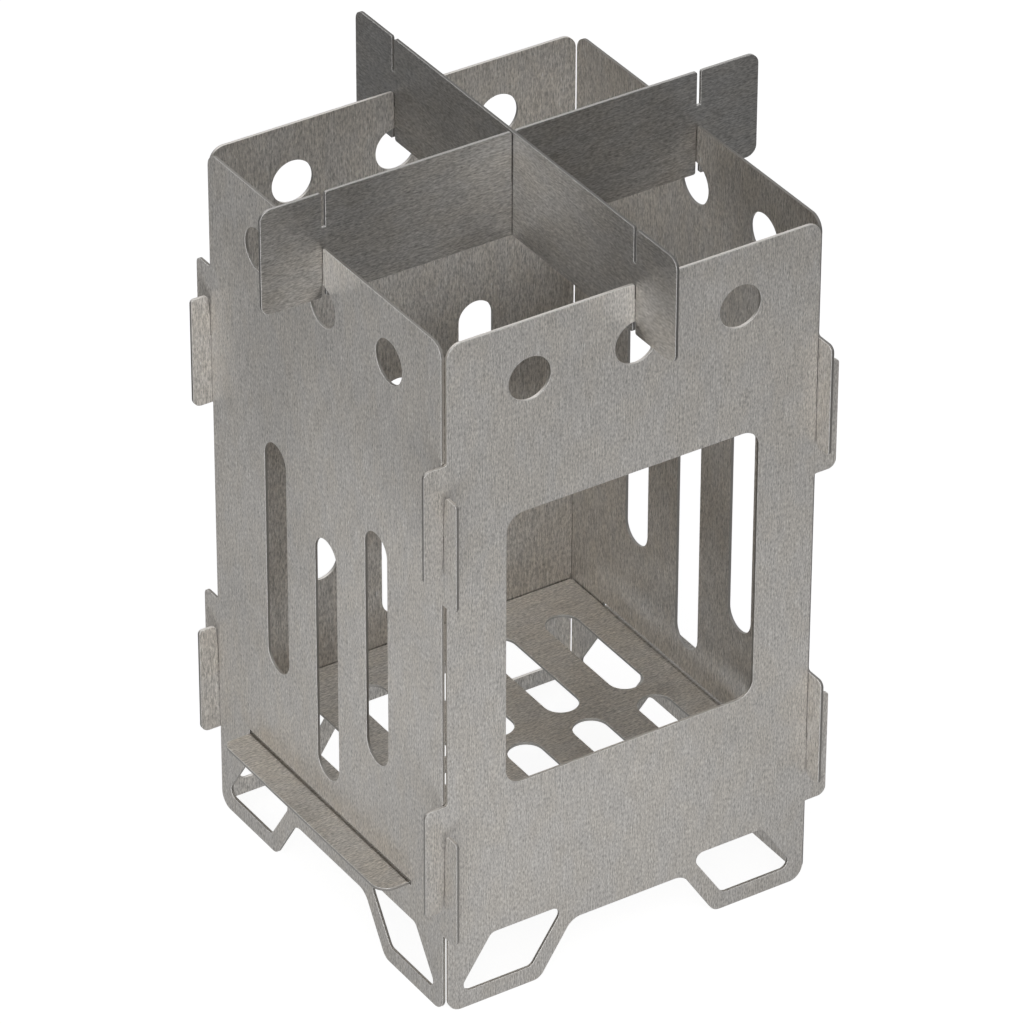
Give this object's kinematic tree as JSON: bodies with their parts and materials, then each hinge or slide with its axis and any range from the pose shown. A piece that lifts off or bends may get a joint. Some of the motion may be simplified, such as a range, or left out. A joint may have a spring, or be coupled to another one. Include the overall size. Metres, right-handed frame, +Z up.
{
  "type": "hobo stove",
  "caption": "Plug-together sheet-steel wood stove: hooked walls, a tabbed ash grate and crossed bars that carry a pot.",
  "frame": {"origin": "on the ground under the middle of the stove", "axes": "+Z up, +X to the right along the front wall with the fuel window, +Y to the back"},
  "size_m": [0.1448, 0.1448, 0.2128],
  "materials": {
    "wall_steel": "fine upright grain",
    "grate_steel": "fine grain from side to side",
    "bar_steel": "fine grain along the bar"
  },
  "bodies": {
    "stove_body": {"front_wall": "wall_steel", "left_wall": "wall_steel", "right_wall": "wall_steel", "back_wall": "wall_steel", "fire_grate": "grate_steel"},
    "lower_bar": {"lower_support_bar": "bar_steel"},
    "upper_bar": {"upper_support_bar": "bar_steel"}
  },
  "joints": [
    {"name": "lower_bar_lift", "type": "slide", "parent": "stove_body", "child": "lower_bar", "axis": [0, 0, 1], "range_m": [0, 0.02]},
    {"name": "upper_bar_lift", "type": "slide", "parent": "lower_bar", "child": "upper_bar", "axis": [0, 0, 1], "range_m": [0, 0.035]}
  ]
}
